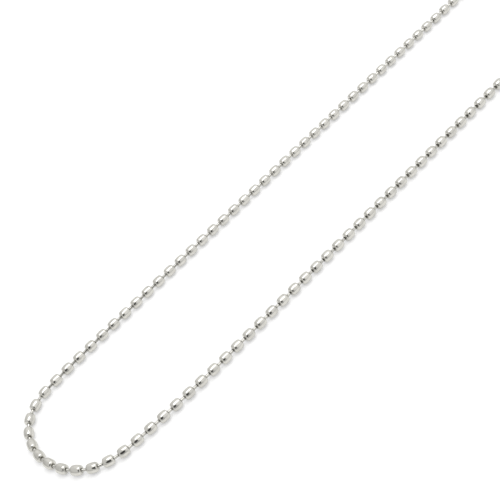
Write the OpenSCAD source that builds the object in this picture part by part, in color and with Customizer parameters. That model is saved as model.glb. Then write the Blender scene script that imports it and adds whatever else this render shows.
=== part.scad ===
// Ball chain necklace, laid down closed as a long narrow loop. Millimetres, +Z up.
// The beads rest on z = 0 and the long axis of the loop runs along X. The front bend is
// at -X, the clasp is on the far strand near the back bend, and the origin lies under
// the middle of the loop.

/* [Beads] */
// Diameter of a bead across its crown
bead_diameter = 2.4; // [2.3:0.05:3]
// Length of a bead along the chain
bead_length = 2.6; // [2.55:0.05:3.2]
// Radius of the long arc that crowns the middle of a bead
crown_radius = 4; // [2:0.1:6]
// Radius of the shoulders between the crown and the ends
shoulder_radius = 0.55; // [0.45:0.05:0.65]
// Thickness of the sheet that the beads are rolled from
bead_wall = 0.18; // [0.12:0.01:0.2]

/* [Links] */
// Length of pin that shows between one bead and the next
bead_gap = 1.1; // [0.8:0.05:1.6]
// Diameter of the pin of a link
pin_diameter = 0.62; // [0.5:0.02:0.68]
// Clearance round a pin in the hole of a bead
pin_play = 0.14; // [0.1:0.01:0.15]
// How far the head of a pin reaches past the edge of the hole, all round
head_lip = 0.05; // [0.03:0.01:0.06]
// Clearance between a head and the edge of its hole
head_play = 0.21; // [0.12:0.01:0.24]

/* [Clasp] */
// Thickness of the sleeve that holds the two end beads
clasp_wall = 0.25; // [0.2:0.01:0.35]
// Clearance between the sleeve and the beads in it
clasp_play = 0.12; // [0.1:0.01:0.2]
// Clearance round the pin in each mouth of the sleeve
mouth_play = 0.4; // [0.35:0.01:0.5]
// Radius of the shoulders of the sleeve
clasp_shoulder = 0.6; // [0.4:0.05:0.8]

/* [Loop] */
// Length of the straight strands between the front bend and the back bend
strand_length = 125.8; // [100:0.1:250]

/* [Hidden] */
// The line of the beads seen from above, from the clasp round the front bend and back.
// X is measured from the nearer end of the straight strands, out towards its bend.
ROUTE = [
    [10.2, 15.4],
    [-6, 15.4], [-19, 15.3], [-27, 15.1], [-34, 14.3], [-39.3, 11], [-42.2, 5.5],
    [-42.7, 0],
    [-41.3, -5.6], [-37.6, -10.6], [-32, -13.4], [-25, -14.4], [-11, -15.2], [-1, -15.5],
    [27, -15.4], [33.2, -14.1], [38.2, -10.9], [41.5, -5.9],
    [42.7, 0],
    [41.5, 5.9], [38.2, 10.9], [33.2, 14.1], [27, 15.3]
];
$fn = 48;

SILVER = [0.8, 0.8, 0.79];
STEEL = [0.72, 0.72, 0.72];

// Neighbouring arcs cross by this much, so that none of them only just touch
CROSSING = 0.01;
// How many beads it takes the chain to come down from the clasp to the surface
LIFTED_BEADS = 3;

bead_r = bead_diameter / 2;
pin_r = pin_diameter / 2;
hole_r = pin_r + pin_play;
head_r = hole_r + head_lip;

// Distance from the middle of a bead to the middle of the sheet round its hole
hole_reach = (bead_length - bead_wall) / 2;
// Distance from the middle of a bead to the centre of a head inside it
head_reach = bead_length / 2 - bead_wall - sqrt(pow(head_r + head_play, 2) - pow(hole_r, 2));

clasp_r = bead_r + clasp_play + clasp_wall;
mouth_r = pin_r + mouth_play;
clasp_lift = clasp_r - bead_r;

// The route as a smooth closed line through its points

PIECES = 16;
corners = [for (p = ROUTE) [p.x + sign(p.x) * strand_length / 2, p.y]];

function unit(v) = v / norm(v);
function corner(i) = corners[(i + len(corners)) % len(corners)];
function heading(i) = unit(corner(i + 1) - corner(i - 1));
function between(i, t) =
    let (from = corner(i), to = corner(i + 1), span = norm(to - from))
    (2 * pow(t, 3) - 3 * pow(t, 2) + 1) * from
    + (pow(t, 3) - 2 * pow(t, 2) + t) * span * heading(i)
    + (3 * pow(t, 2) - 2 * pow(t, 3)) * to
    + (pow(t, 3) - pow(t, 2)) * span * heading(i + 1);

track = [
    for (i = [0:len(corners) - 1], k = [0:PIECES - 1]) between(i, k / PIECES),
    corner(0)
];
gaps = [for (i = [0:len(track) - 2]) norm(track[i + 1] - track[i]), 0];
run = [for (i = 0, s = 0; i < len(track); s = s + gaps[i], i = i + 1) s];
loop_length = run[len(run) - 1];

along_x = [for (i = [0:len(track) - 1]) [run[i], track[i].x]];
along_y = [for (i = [0:len(track) - 1]) [run[i], track[i].y]];

// The beads are spread evenly over the loop, half a step to each side of the clasp's middle

bead_count = round(loop_length / (bead_length + bead_gap));
step = loop_length / bead_count;
last = bead_count - 1;

// The sleeve of the clasp holds its two beads off the surface, and the next ones come down from it
function lift(i) = clasp_lift * max(0, 1 - min(i, last - i) / LIFTED_BEADS);
function place(i) =
    let (s = (i + 0.5) * step)
    [lookup(s, along_x), lookup(s, along_y), bead_r + lift(i)];

places = [for (i = [0:last]) place(i)];
clasp_axis = unit(places[0] - places[last]);

function in_clasp(i) = i == 0 || i == last;
function level(v) = unit([v.x, v.y, 0]);
function axis(i) = in_clasp(i) ? clasp_axis : level(places[i + 1] - places[i - 1]);
function hole(i, side) = places[i] + side * hole_reach * axis(i);

// Middle of the whole loop, measured over the outsides of the beads and the clasp
function half_width(i) = in_clasp(i) ? clasp_r : bead_r;
left = min([for (i = [0:last]) places[i].x - half_width(i)]);
right = max([for (i = [0:last]) places[i].x + half_width(i)]);
near = min([for (i = [0:last]) places[i].y - half_width(i)]);
far = max([for (i = [0:last]) places[i].y + half_width(i)]);
middle = [(left + right) / 2, (near + far) / 2, 0];

// Puts a piece that was made along Z at a point, with its axis in a direction
module lay(point, direction) {
    translate(point - middle)
        rotate([0, acos(unit(direction).z), atan2(direction.y, direction.x)])
            children();
}

// Half the section of a barrel that stands along Y: a crowned middle, round shoulders
// and flat ends
module barrel_section(length, radius, crown, shoulder) {
    lean = asin((length / 2 - shoulder) / (crown - shoulder));
    shoulder_x = radius - crown + (crown - shoulder) * cos(lean);
    crown_y = crown * sin(lean);
    intersection() {
        translate([0, -length / 2])
            square([radius + CROSSING, length]);
        union() {
            intersection() {
                translate([radius - crown, 0])
                    circle(crown);
                translate([0, -crown_y])
                    square([2 * radius, 2 * crown_y]);
            }
            shoulders(length, shoulder_x, shoulder);
        }
    }
}

// Half the section of a sleeve that stands along Y, straight with round shoulders
module sleeve_section(length, radius, shoulder) {
    intersection() {
        translate([0, -length / 2])
            square([radius, length]);
        union() {
            translate([0, shoulder - length / 2])
                square([2 * radius, length - 2 * shoulder]);
            shoulders(length, radius - shoulder, shoulder);
        }
    }
}

// The two rounded corners of a section, and the core between them
module shoulders(length, corner_x, shoulder) {
    for (side = [-1, 1])
        translate([corner_x + CROSSING, side * (length / 2 - shoulder + CROSSING)])
            circle(shoulder);
    translate([0, -length])
        square([corner_x + CROSSING, 2 * length]);
}

// A hollow piece turned from its outer and its inner section, with a hole in each end
module turned(length, hole_radius) {
    rotate_extrude()
        difference() {
            children(0);
            children(1);
            translate([-hole_radius, -length])
                square([2 * hole_radius, 2 * length]);
        }
}

module bead() {
    turned(bead_length, hole_r) {
        barrel_section(bead_length, bead_r, crown_radius, shoulder_radius);
        barrel_section(
            bead_length - 2 * bead_wall, bead_r - bead_wall,
            crown_radius - bead_wall, shoulder_radius - bead_wall
        );
    }
}

// A pin with a round head at each end, one in each of the two beads that it joins
module link() {
    head_y = step / 2 - head_reach;
    rotate_extrude()
        intersection() {
            union() {
                translate([0, -head_y])
                    square([pin_r, 2 * head_y]);
                for (side = [-1, 1])
                    translate([0, side * head_y])
                        circle(head_r);
            }
            translate([0, -2 * head_y])
                square([2 * head_r, 4 * head_y]);
        }
}

module beads() {
    color(SILVER)
        for (i = [0:last])
            lay(places[i], axis(i))
                bead();
}

module links() {
    color(STEEL)
        for (i = [0:last - 1])
            lay((hole(i, 1) + hole(i + 1, -1)) / 2, hole(i + 1, -1) - hole(i, 1))
                link();
}

// A plain sleeve round the first and the last bead, which closes the loop
module clasp() {
    inside = norm(places[0] - places[last]) + bead_length + 2 * clasp_play;
    outside = inside + 2 * clasp_wall;
    color(SILVER)
        lay((places[0] + places[last]) / 2, clasp_axis)
            turned(outside, mouth_r) {
                sleeve_section(outside, clasp_r, clasp_shoulder);
                sleeve_section(inside, clasp_r - clasp_wall, clasp_shoulder - clasp_wall);
            }
}

beads();
links();
clasp();
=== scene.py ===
# %% [markdown]
# A ball chain necklace in Blender.
#
# The real thing is a few hundred tiny pieces of sheet metal and wire: hollow beads, and
# between each two of them a pin with a head at each end. All of them are packed already
# as solids, and each lies where it belongs, but chrome shows every uneven facet of a
# mesh. So this lesson turns each piece again with an even, smooth mesh, and gives it
# polish, wear and light. Nothing is placed by eye: every place is read from the solids.

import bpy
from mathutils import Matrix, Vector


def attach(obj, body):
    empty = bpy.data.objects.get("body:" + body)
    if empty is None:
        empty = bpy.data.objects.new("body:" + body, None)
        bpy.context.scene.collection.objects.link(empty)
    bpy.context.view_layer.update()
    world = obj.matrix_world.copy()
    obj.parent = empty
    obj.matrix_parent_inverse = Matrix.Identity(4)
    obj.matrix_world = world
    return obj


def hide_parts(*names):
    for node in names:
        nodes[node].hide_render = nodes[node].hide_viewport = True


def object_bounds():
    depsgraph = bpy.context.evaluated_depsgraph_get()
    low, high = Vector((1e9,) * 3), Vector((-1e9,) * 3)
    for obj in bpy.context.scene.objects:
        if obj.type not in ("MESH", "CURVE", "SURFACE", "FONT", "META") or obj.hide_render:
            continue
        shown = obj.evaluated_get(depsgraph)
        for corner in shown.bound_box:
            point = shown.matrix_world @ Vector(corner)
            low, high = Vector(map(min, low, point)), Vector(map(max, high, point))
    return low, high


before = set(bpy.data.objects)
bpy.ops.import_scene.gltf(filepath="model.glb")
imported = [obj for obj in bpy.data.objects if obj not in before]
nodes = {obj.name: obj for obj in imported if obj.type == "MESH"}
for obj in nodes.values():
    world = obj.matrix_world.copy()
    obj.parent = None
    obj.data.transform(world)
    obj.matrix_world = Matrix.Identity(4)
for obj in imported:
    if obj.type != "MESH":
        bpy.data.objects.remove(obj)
cad_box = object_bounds()
print("nodes:", sorted(nodes))
print("box in mm:", [tuple(round(1000 * v, 1) for v in corner) for corner in cad_box])

# %% [markdown]
# The camera comes first, because it decides how much detail each piece needs. The
# photograph looks down at the chain at 45 degrees, with the long loop running away from
# the lens to the upper right. A camera can be aimed by hand in the viewport, but numbers
# can be tried and compared. Three angles say where it looks, and one offset says where
# it stands, counted from the outermost point of the front bend.

# %% The camera
import math

import bpy
from mathutils import Matrix, Vector

PHOTO_WIDTH = 500
FOCAL_PIXELS = 1123
SENSOR_MM = 36.0
HEADING, TIP, ROLL = (math.radians(degrees) for degrees in (25.1, 44.7, -25.96))
CAMERA_FROM_BEND = Vector((-0.01117, -0.16676, 0.18592))
CLIP_START = 0.001


def make_camera():
    ahead = Vector((
        math.sin(HEADING) * math.cos(TIP),
        math.cos(HEADING) * math.cos(TIP),
        -math.sin(TIP),
    ))
    level_right = Vector((math.cos(HEADING), -math.sin(HEADING), 0))
    level_up = level_right.cross(ahead)
    right = math.cos(ROLL) * level_right + math.sin(ROLL) * level_up
    up = right.cross(ahead)
    camera = bpy.data.objects.new("camera", bpy.data.cameras.new("camera"))
    bpy.context.scene.collection.objects.link(camera)
    stand = Vector((cad_box[0].x, 0, 0)) + CAMERA_FROM_BEND
    turned = Matrix((right, up, -ahead)).transposed()
    camera.matrix_world = Matrix.Translation(stand) @ turned.to_4x4()
    camera.data.sensor_width = SENSOR_MM
    camera.data.lens = FOCAL_PIXELS * SENSOR_MM / PHOTO_WIDTH
    camera.data.clip_start = CLIP_START
    bpy.context.scene.camera = camera
    return camera


camera = make_camera()
print("lens in mm:", round(camera.data.lens, 1))

# %% [markdown]
# Each node of the model is one mesh with many loose solids in it. Blender can split a
# mesh by loose parts, but that makes hundreds of objects which then have to go again.
# Lists of numbers do it without: vertices at the same place share one number, and then
# every vertex takes the lowest number at the other ends of its edges, again and again,
# until each solid has one number all over.

# %% The loose solids of a node
import numpy as np


def points_of(mesh):
    flat = np.empty(3 * len(mesh.vertices))
    mesh.vertices.foreach_get("co", flat)
    return flat.reshape(-1, 3)


def loose_solids(node):
    """The vertices of each solid in a node, as one array of places for each."""
    mesh = nodes[node].data
    places = points_of(mesh)
    ends = np.empty(2 * len(mesh.edges), int)
    mesh.edges.foreach_get("vertices", ends)
    _, same = np.unique(places, axis=0, return_inverse=True)
    same = same.reshape(-1)
    start, stop = same[ends].reshape(-1, 2).T
    number = np.arange(same.max() + 1)
    while True:
        low = np.minimum(number[start], number[stop])
        lower = number.copy()
        np.minimum.at(lower, start, low)
        np.minimum.at(lower, stop, low)
        lower = lower[lower]
        if (lower == number).all():
            break
        number = lower
    group = number[same]
    return [places[group == g] for g in np.unique(group)]


bead_points = loose_solids("beads")
link_points = loose_solids("links")
print("beads:", len(bead_points), "links:", len(link_points))

# %% [markdown]
# A chain has an order. Sorting the pieces from left to right would mix the two strands
# of the loop, so the chain is walked instead. The two links nearest to the clasp are its
# ends, and a walk from one of them, always on to the nearest link not yet met, visits
# the links in their order. Each bead then lies half-way between two links.

# %% The chain in order


def middle(points):
    return (points.min(0) + points.max(0)) / 2


def nearest(places, place):
    return int(np.argmin(np.linalg.norm(places - place, axis=1)))


def walk(places, first):
    left = list(range(len(places)))
    left.remove(first)
    order = [first]
    while left:
        order.append(left.pop(nearest(places[left], places[order[-1]])))
    return order


link_middles = np.array([middle(points) for points in link_points])
clasp_points = points_of(nodes["clasp"].data)
clasp_middle = middle(clasp_points)
link_order = walk(link_middles, nearest(link_middles, clasp_middle))
link_points = [link_points[i] for i in link_order]
link_middles = link_middles[link_order]

bead_middles = np.array([middle(points) for points in bead_points])
before = 2 * link_middles[0] - link_middles[1]
after = 2 * link_middles[-1] - link_middles[-2]
stops = np.vstack([before, link_middles, after])
bead_order = [nearest(bead_middles, (a + b) / 2) for a, b in zip(stops[:-1], stops[1:])]
bead_points = [bead_points[i] for i in bead_order]
bead_middles = bead_middles[bead_order]
print("each bead met once:", sorted(bead_order) == list(range(len(bead_points))))

# %% [markdown]
# Next comes the direction in which each piece lies. A bead's is hard to tell from its
# solid, because the bead is almost as wide as it is long. But the beads lie level, and
# each points the way its two neighbours lie. The two beads in the clasp point along it.
# A link is long and thin, so its axis is the direction in which its points spread most.

# %% The axes of the beads and links


def unit(vector):
    return vector / np.linalg.norm(vector)


def level(vector):
    return unit(vector * (1, 1, 0))


def long_way(points):
    spread = points - points.mean(0)
    return np.linalg.svd(spread, full_matrices=False)[2][0]


clasp_axis = level(bead_middles[0] - bead_middles[-1])
bead_axes = [level(b - a) for a, b in zip(bead_middles[:-2], bead_middles[2:])]
bead_axes = [clasp_axis] + bead_axes + [clasp_axis]
link_axes = [long_way(points) for points in link_points]
pitch = np.linalg.norm(np.diff(bead_middles, axis=0), axis=1).mean()
print("pitch in mm:", round(1000 * pitch, 3))

# %% [markdown]
# The sizes come from the solids too, as distances along and away from the axis of a
# piece. They could be copied from a drawing, but then they would be wrong as soon as the
# solids change. The sheet metal shows its thickness at the edge of the hole: the points
# there lie on the outside or on the inside of the wall. All beads are alike, so one of
# them is measured, away from the clasp.

# %% The sizes of a bead, a link and the clasp
TYPICAL = 20
HOLE_EDGE = 1.05


def along_and_away(points, centre, axis):
    offset = points - centre
    along = offset @ axis
    away = np.linalg.norm(offset - np.outer(along, axis), axis=1)
    return np.abs(along), away


def hollow_sizes(points, centre, axis):
    """Half the length of a hollow piece, its radius, the radius of its hole, its wall."""
    along, away = along_and_away(points, centre, axis)
    half, hole = along.max(), away.min()
    return half, away.max(), hole, half - along[away < HOLE_EDGE * hole].min()


def pin_sizes(points, centre, axis):
    """Half the length of a link, the radius of its heads, the radius of its pin."""
    along, away = along_and_away(points, centre, axis)
    half, head = along.max(), away.max()
    return half, head, away[along < half - head].min()


bead_half, bead_radius, hole_radius, bead_wall = hollow_sizes(
    bead_points[TYPICAL], bead_middles[TYPICAL], bead_axes[TYPICAL]
)
link_half, head_radius, pin_radius = pin_sizes(
    link_points[TYPICAL], link_middles[TYPICAL], link_axes[TYPICAL]
)
clasp_half, clasp_radius, mouth_radius, clasp_wall = hollow_sizes(
    clasp_points, clasp_middle, clasp_axis
)
for name, value in (
    ("bead length", 2 * bead_half), ("bead diameter", 2 * bead_radius),
    ("bead hole", 2 * hole_radius), ("bead wall", bead_wall),
    ("link length", 2 * link_half), ("link head", 2 * head_radius),
    ("link pin", 2 * pin_radius), ("clasp length", 2 * clasp_half),
    ("clasp diameter", 2 * clasp_radius), ("clasp wall", clasp_wall),
):
    print(name, "in mm:", round(1000 * value, 3))

# %% [markdown]
# A bead is rolled from sheet into a little barrel. A squashed sphere would be too round
# for it, and a cylinder with bevels too flat. So its outline is built from arcs, a long
# one for the crowned middle and a short one for each shoulder. The line runs outside
# from hole to hole and back inside, because the bead is hollow. The inside is hardly
# seen, so it has fewer pieces.

# %% The outline of a bead
CROWN_RADIUS = 0.004
SHOULDER_RADIUS = 0.00055
CROWN_PIECES, SHOULDER_PIECES = 4, 5
HIDDEN_PIECES = 1


def arc(centre, radius, start, stop, pieces):
    angles = np.linspace(start, stop, pieces + 1)
    return [(centre[0] + radius * math.cos(a), centre[1] + radius * math.sin(a)) for a in angles]


def barrel_half(half, radius, crown, shoulder, crown_pieces, shoulder_pieces):
    """From the middle of the barrel to the edge of its hole, as (away, along) pairs."""
    lean = math.asin((half - shoulder) / (crown - shoulder))
    corner = (radius - crown + (crown - shoulder) * math.cos(lean), half - shoulder)
    line = arc((radius - crown, 0), crown, 0, lean, crown_pieces)
    line += arc(corner, shoulder, lean, math.pi / 2, shoulder_pieces)[1:]
    return line + [(hole_radius, half)]


def both_ways(line):
    return [(away, -along) for away, along in line[:0:-1]] + line


def hollow(outside, inside):
    return both_ways(outside) + both_ways(inside)[::-1]


bead_outline = hollow(
    barrel_half(
        bead_half, bead_radius, CROWN_RADIUS, SHOULDER_RADIUS, CROWN_PIECES, SHOULDER_PIECES
    ),
    barrel_half(
        bead_half - bead_wall, bead_radius - bead_wall, CROWN_RADIUS - bead_wall,
        SHOULDER_RADIUS - bead_wall, HIDDEN_PIECES, HIDDEN_PIECES,
    ),
)
print("points in the outline of a bead:", len(bead_outline))

# %% [markdown]
# Turning an outline about an axis is called lathing. Blender has a Screw modifier for
# it, but here hundreds of copies end up in one mesh, and it is quicker to work out the
# vertices as arrays and to hand them over at once. A ring of vertices stands for each
# point of the outline, and faces join one ring to the next.

# %% One bead on the lathe
BEAD_SIDES = 28


def lathe(outline, sides, closed=False):
    """Vertices and faces of one turned piece that lies along +X."""
    angles = np.linspace(0, 2 * math.pi, sides, endpoint=False)
    away, along = np.array(outline).T
    vertices = np.stack([
        np.repeat(along, sides),
        np.outer(away, np.cos(angles)).ravel(),
        np.outer(away, np.sin(angles)).ravel(),
    ], axis=1)
    faces = []
    rings = len(outline)
    for ring in range(rings if closed else rings - 1):
        here, there = ring * sides, (ring + 1) % rings * sides
        for side in range(sides):
            turn = (side + 1) % sides
            faces.append([here + side, here + turn, there + turn, there + side])
    if not closed:
        faces.append(list(range(sides))[::-1])
        faces.append(list(range((rings - 1) * sides, rings * sides)))
    return vertices, faces


bead_pattern = lathe(bead_outline, BEAD_SIDES, closed=True)
print("faces of one bead:", len(bead_pattern[1]))

# %% [markdown]
# The beads all have one finish and move together, so the whole string is one mesh. An
# instance for each bead would be lighter, but an exported model needs real faces. Each
# bead is spun about its axis by chance, as on the real chain, so that no facets line up
# along the string. The dice have a seed, so they fall alike each time.

# %% The string of beads
SHARP = math.radians(40)
SEED = 7


def standing(axis, spin):
    """The three directions of a piece whose +X lies along the axis, spun about it."""
    side = unit(np.cross((0, 0, 1), axis))
    top = np.cross(axis, side)
    turned_side = math.cos(spin) * side + math.sin(spin) * top
    return np.array([axis, turned_side, np.cross(axis, turned_side)])


def make_mesh(name, vertices, faces):
    mesh = bpy.data.meshes.new(name)
    mesh.from_pydata(vertices.tolist(), [], faces)
    mesh.shade_smooth()
    mesh.set_sharp_from_angle(angle=SHARP)
    piece = bpy.data.objects.new(name, mesh)
    bpy.context.scene.collection.objects.link(piece)
    print("faces of", name, len(mesh.polygons))
    return piece


def many(name, pattern, centres, axes, spins):
    """One mesh that holds a copy of the pattern at each centre."""
    vertices, faces = pattern
    placed = [c + vertices @ standing(a, s) for c, a, s in zip(centres, axes, spins)]
    shifted = [
        [corner + copy * len(vertices) for corner in face]
        for copy in range(len(centres)) for face in faces
    ]
    return make_mesh(name, np.vstack(placed), shifted)


dice = np.random.default_rng(SEED)
bead_spins = dice.uniform(0, 2 * math.pi, len(bead_middles))
beads = many("bead_string", bead_pattern, bead_middles, bead_axes, bead_spins)

# %% [markdown]
# A link is a piece of wire with a round head at each end, and the heads keep the beads
# of a real chain from sliding off. A cylinder with a sphere at each end would leave faces
# hidden in each other, and one outline on the lathe leaves none. A lathe can't close an
# outline that ends on its axis, because a ring there has no size. So the heads stop a
# hair before it, and one small flat face closes each.

# %% The links
HEAD_PIECES = 9
PIN_SIDES = 18
TIP_ANGLE = 0.05


def head_outline():
    """From the neck of a pin over its head to the tip, as (away, along) pairs."""
    centre = link_half - head_radius
    neck = math.asin(pin_radius / head_radius) - math.pi / 2
    return arc((0, centre), head_radius, neck, math.pi / 2 - TIP_ANGLE, HEAD_PIECES)


link_pattern = lathe(both_ways(head_outline()), PIN_SIDES)
links = many("link_pins", link_pattern, link_middles, link_axes, np.zeros(len(link_axes)))

# %% [markdown]
# The clasp is a plain sleeve with rounded ends that holds the two end beads of the
# chain. It is a bent piece of sheet as they are, so it is made the same way, hollow and
# on the lathe, with a straight run where the beads have their crown. It is the largest
# piece and the smoothest, so it gets the most sides.

# %% The clasp
CLASP_SHOULDER = 0.0006
CLASP_SIDES = 64
OUTER_PIECES, INNER_PIECES = 10, 5


def sleeve_half(half, radius, shoulder, pieces):
    """From the middle of the sleeve to the edge of its mouth, as (away, along) pairs."""
    line = arc((radius - shoulder, half - shoulder), shoulder, 0, math.pi / 2, pieces)
    return [(radius, 0)] + line + [(mouth_radius, half)]


clasp_outline = hollow(
    sleeve_half(clasp_half, clasp_radius, CLASP_SHOULDER, OUTER_PIECES),
    sleeve_half(
        clasp_half - clasp_wall, clasp_radius - clasp_wall,
        CLASP_SHOULDER - clasp_wall, INNER_PIECES,
    ),
)
clasp_pattern = lathe(clasp_outline, CLASP_SIDES, closed=True)
clasp = many("clasp_sleeve", clasp_pattern, [clasp_middle], [clasp_axis], [0])

# %% [markdown]
# Finishes are made of nodes. They can be drawn in the shader editor, but a graph of nodes
# is a sum, so it reads best as one. The class below wraps a socket and turns Python's
# operators into Math nodes, and every other node comes from its method called node. A
# socket is named there by its label, with _ for a space, or by its number, as in i0.

# %% Shader maths as Python


class Wire:
    """The output socket of a node, or a whole node tree to start from."""

    def __init__(self, tree, socket=None):
        self.tree, self.socket = tree, socket

    def node(self, kind, settings=None, output=0, **values):
        """A new node: its settings first, then the values or wires of its sockets."""
        made = self.tree.nodes.new(kind)
        for name, value in (settings or {}).items():
            setattr(made, name, value)
        for name, value in values.items():
            key = int(name[1:]) if name[1:].isdigit() else name.replace("_", " ")
            self.put(made.inputs[key], value)
        return Wire(self.tree, made.outputs[output])

    def put(self, socket, value):
        if isinstance(value, Wire):
            self.tree.links.new(value.socket, socket)
        else:
            socket.default_value = value

    def maths(self, operation, first, second):
        return self.node("ShaderNodeMath", {"operation": operation}, i0=first, i1=second)

    def __add__(self, other):
        return self.maths("ADD", self, other)

    def __sub__(self, other):
        return self.maths("SUBTRACT", self, other)

    def __rsub__(self, other):
        return self.maths("SUBTRACT", other, self)

    def __mul__(self, other):
        return self.maths("MULTIPLY", self, other)

    __radd__, __rmul__ = __add__, __mul__

    def between(self, low, high):
        """0 below low, 1 above high, and a smooth step from one to the other."""
        settings = {"interpolation_type": "SMOOTHSTEP"}
        return self.node(
            "ShaderNodeMapRange", settings, Value=self, From_Min=low, From_Max=high
        )

    def dot(self, direction):
        settings = {"operation": "DOT_PRODUCT"}
        return self.node("ShaderNodeVectorMath", settings, "Value", i0=self, i1=direction)

    def blend(self, first, second):
        """The first colour where this is 0 and the second where it is 1."""
        settings = {"data_type": "RGBA"}
        return self.node("ShaderNodeMix", settings, 2, i0=self, i6=first, i7=second)


# %% [markdown]
# Polished metal has hardly a colour of its own: what shows is its surroundings. What
# tells it from a mirror is its wear. The beads rub on skin and on each other, which
# leaves broad, faint clouds in the polish and hair scratches that catch the light. The
# thin sheet is never quite round either, and shallow dents bend what each bead mirrors.
# A painted image could hold all this, but noise nodes have no seams and stay sharp from
# close by. The holes and crevices get painted shade, nearly black: the ambient occlusion
# node tells how much of its surroundings a point sees within a short distance.

# %% The finish of the metal
CLOUDS, SCRATCHES, DENTS = 700.0, 9000.0, 600.0
CLOUD_DETAIL, SCRATCH_DETAIL, DENT_DETAIL = 3.0, 2.0, 1.0
WEAR_BEGINS, WEAR_FULL = 0.42, 0.68
SCRATCH_BEGINS, SCRATCH_FULL = 0.5, 0.8
WEAR_ROUGHNESS, SCRATCH_ROUGHNESS = 0.06, 0.03
SCRATCH_DEPTH = 0.000001
CREVICE_WIDTH = 0.0006
CREVICE_RAYS = 8
CREVICE_SHUT, CREVICE_OPEN = 0.45, 0.85
# The grey of the painted shade in the holes and crevices.
CREVICE_SHADE_GREY = 0.04
WARM_CAST = (1.02, 1.0, 0.93)


def silver(value):
    """A grey with the warm cast that silver-coloured plating has."""
    return tuple(value * share for share in WARM_CAST) + (1,)


def metal(name, bright, dull, roughness, dent_depth):
    """A polished metal, bright where it is clean, dull where it is worn, and painted dark as
    shade in its holes.
    """
    material = bpy.data.materials.new(name)
    material.use_nodes = True
    tree = material.node_tree
    start = Wire(tree)
    place = start.node("ShaderNodeTexCoord", output="Object")

    def noise(scale, detail):
        return start.node("ShaderNodeTexNoise", Vector=place, Scale=scale, Detail=detail)

    wear = noise(CLOUDS, CLOUD_DETAIL).between(WEAR_BEGINS, WEAR_FULL)
    scratches = noise(SCRATCHES, SCRATCH_DETAIL).between(SCRATCH_BEGINS, SCRATCH_FULL)
    height = noise(DENTS, DENT_DETAIL) * dent_depth + scratches * SCRATCH_DEPTH
    rays = {"samples": CREVICE_RAYS}
    open_sky = start.node("ShaderNodeAmbientOcclusion", rays, "AO", Distance=CREVICE_WIDTH)
    unshaded = open_sky.between(CREVICE_SHUT, CREVICE_OPEN)

    shader = tree.nodes["Principled BSDF"].inputs
    shader["Metallic"].default_value = 1.0
    surface = wear.blend(silver(bright), silver(dull))
    # Painted shade: the base colour turns nearly black in the holes and crevices.
    start.put(shader["Base Color"], unshaded.blend(silver(CREVICE_SHADE_GREY), surface))
    rough = roughness + wear * WEAR_ROUGHNESS + scratches * SCRATCH_ROUGHNESS
    start.put(shader["Roughness"], rough)
    relief = start.node("ShaderNodeBump", Height=height, Strength=1.0, Distance=1.0)
    start.put(shader["Normal"], relief)
    print("nodes of", name, len(tree.nodes))
    return material


bead_polish = metal("bead_polish", bright=0.63, dull=0.55, roughness=0.08, dent_depth=0.0001)
pin_polish = metal("pin_polish", bright=0.55, dull=0.46, roughness=0.07, dent_depth=0.00001)
clasp_polish = metal("clasp_polish", bright=0.63, dull=0.55, roughness=0.08, dent_depth=0.00003)

# %% [markdown]
# The wire of the pins is a little darker than the beads, and it hardly dents. The sleeve
# is thicker than a bead, so its dents are shallower. Each new piece takes its finish
# here, and it stands in for the solid that it was made from.

# %% The finish of each piece
for piece, polish, node, slot in (
    (beads, bead_polish, "beads", "bead_metal"),
    (links, pin_polish, "links", "pin_metal"),
    (clasp, clasp_polish, "clasp", "clasp_metal"),
):
    piece.data.materials.append(polish)
    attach(piece, "root")
    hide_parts(node)
    print(piece.name, "stands in for", node)

# %% [markdown]
# The floor is a plain white board, wide enough to fill every view. More light would make
# a grey board white, but it would burn out the beads as well. So the board glows a
# little, like a light table: it stays white, and the shadows on it stay soft.

# %% The floor
FLOOR_SIDE = 6.0
BOARD_GREY = 0.57
BOARD_ROUGHNESS = 0.8
BOARD_GLOW = 0.5


def grey(value):
    return (value, value, value, 1)


def make_floor():
    half = FLOOR_SIDE / 2
    corners = np.array([(-half, -half, 0), (half, -half, 0), (half, half, 0), (-half, half, 0)])
    floor = make_mesh("floor", corners, [[0, 1, 2, 3]])
    board = bpy.data.materials.new("white_board")
    board.use_nodes = True
    shader = board.node_tree.nodes["Principled BSDF"].inputs
    shader["Base Color"].default_value = grey(BOARD_GREY)
    shader["Emission Color"].default_value = grey(1.0)
    shader["Emission Strength"].default_value = BOARD_GLOW
    shader["Roughness"].default_value = BOARD_ROUGHNESS
    floor.data.materials.append(board)


make_floor()

# %% [markdown]
# Chrome is lit by what it mirrors. Walls of real faces would do for a room, but a world
# made of nodes is never in the way of the camera. It is white, a little lighter above
# than at the horizon and dimmer on its left side, with one dark patch in front, where a
# studio is left unlit: it draws the dark bar down the middle of each bead. Below it, the
# table's edge is a little dim too. A dot product tells how near a direction comes to the
# middle of a patch.

# %% The room
HORIZON, ZENITH = 0.9, 1.1
HIGH_UP = 0.8
LEFT_WALL = 0.76
LEFT_END, RIGHT_END = -0.4, 0.35
DIM_TOWARDS = Vector((-0.31, -0.64, 0.7)).normalized()
DIM_CORE, DIM_RIM = (math.cos(math.radians(degrees)) for degrees in (17, 24))
DIM_LEVEL = 0.06
EDGE_TOWARDS = Vector((-0.15, -0.93, 0.32)).normalized()
EDGE_CORE, EDGE_RIM = (math.cos(math.radians(degrees)) for degrees in (8, 24))
EDGE_LEVEL = 0.72


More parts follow.
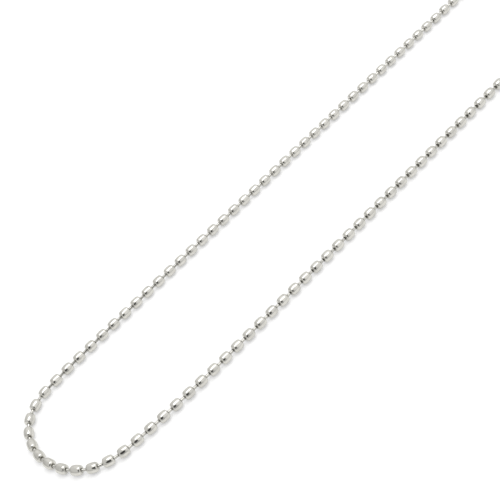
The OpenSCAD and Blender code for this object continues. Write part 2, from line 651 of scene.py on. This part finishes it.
def make_room():
    world = bpy.data.worlds.new("room")
    bpy.context.scene.world = world
    world.use_nodes = True
    tree = world.node_tree
    start = Wire(tree)
    towards = start.node("ShaderNodeTexCoord", output="Generated")
    height = towards.dot((0, 0, 1)).between(0.0, HIGH_UP)
    right = towards.dot((1, 0, 0)).between(LEFT_END, RIGHT_END)
    walls = LEFT_WALL + right * (1 - LEFT_WALL)
    glow = walls * (HORIZON + height * (ZENITH - HORIZON))
    dim = towards.dot(DIM_TOWARDS).between(DIM_RIM, DIM_CORE)
    edge = towards.dot(EDGE_TOWARDS).between(EDGE_RIM, EDGE_CORE)
    glow = glow * (1 - edge * (1 - EDGE_LEVEL))
    background = tree.nodes["Background"].inputs
    start.put(background["Strength"], glow * (1 - dim) + dim * DIM_LEVEL)
    background["Color"].default_value = grey(1.0)
    print("nodes of the room:", len(tree.nodes))


make_room()

# %% [markdown]
# The bright stripe along each bead is the mirror image of a soft box. A sun lamp or a
# spot would only leave a hard glint there, so the lamp is a wide area light overhead,
# and its size sets the width of the stripe. It lays the soft shadows too. The Standard
# view keeps its white as white as the photograph's.

# %% The soft box
BOX_TOWARDS = Vector((0.22, 0.07, 0.97)).normalized()
BOX_DISTANCE = 1.6
BOX_LONG, BOX_SHORT = 1.3, 0.74
BOX_WATTS = 6.6


def make_soft_box():
    lamp = bpy.data.lights.new("soft_box", "AREA")
    lamp.shape = "RECTANGLE"
    lamp.size, lamp.size_y = BOX_LONG, BOX_SHORT
    lamp.energy = BOX_WATTS
    box = bpy.data.objects.new("soft_box", lamp)
    bpy.context.scene.collection.objects.link(box)
    across = Vector((1, 0, 0)).cross(BOX_TOWARDS).normalized()
    long_side = BOX_TOWARDS.cross(across)
    turned = Matrix((-long_side, across, BOX_TOWARDS)).transposed()
    box.matrix_world = Matrix.Translation(BOX_DISTANCE * BOX_TOWARDS) @ turned.to_4x4()
    print("soft box in m:", [round(v, 2) for v in box.matrix_world.translation])


make_soft_box()
bpy.context.scene.view_settings.view_transform = "Standard"
